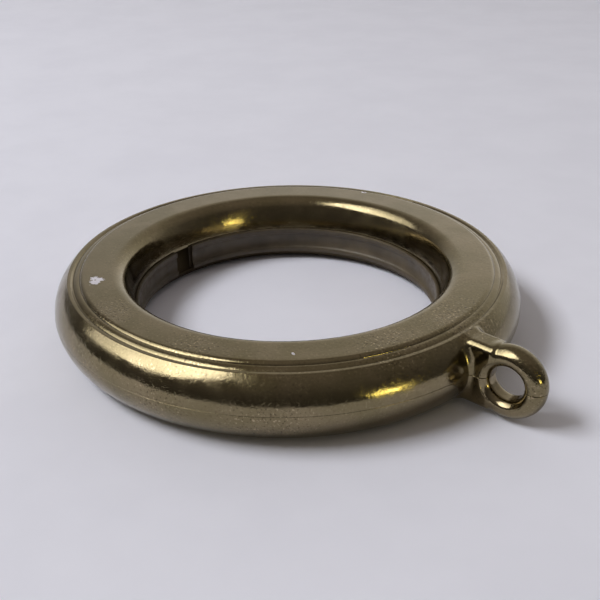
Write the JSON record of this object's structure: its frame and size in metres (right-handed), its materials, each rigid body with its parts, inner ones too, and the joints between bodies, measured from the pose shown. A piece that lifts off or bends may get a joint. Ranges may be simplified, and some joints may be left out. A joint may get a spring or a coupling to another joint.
{
  "type": "curtain pole ring with fixed eye",
  "caption": "Round curtain pole ring in antique brass with a rounded outer bulge, a stepped raised face, a fixed eye on a lug and a split glide liner in the bore.",
  "frame": {"origin": "on the ring's axis, in the joint plane where the two shells meet, level with the liner's upper lip", "axes": "+Z along the ring's axis out of the stepped top face, +X from the pole bore towards the eye, +Y along the hook hole's axis"},
  "size_m": [0.0683, 0.06, 0.009],
  "materials": {
    "antique_brass_upper": "antique brass, polished and lacquered, with small chips and pitting",
    "antique_brass_lower": "antique brass, polished and lacquered",
    "liner_brown": "satin brown nylon"
  },
  "bodies": {
    "root": {"upper_shell": "antique_brass_upper", "lower_shell": "antique_brass_lower", "glide_liner": "liner_brown"}
  },
  "joints": []
}
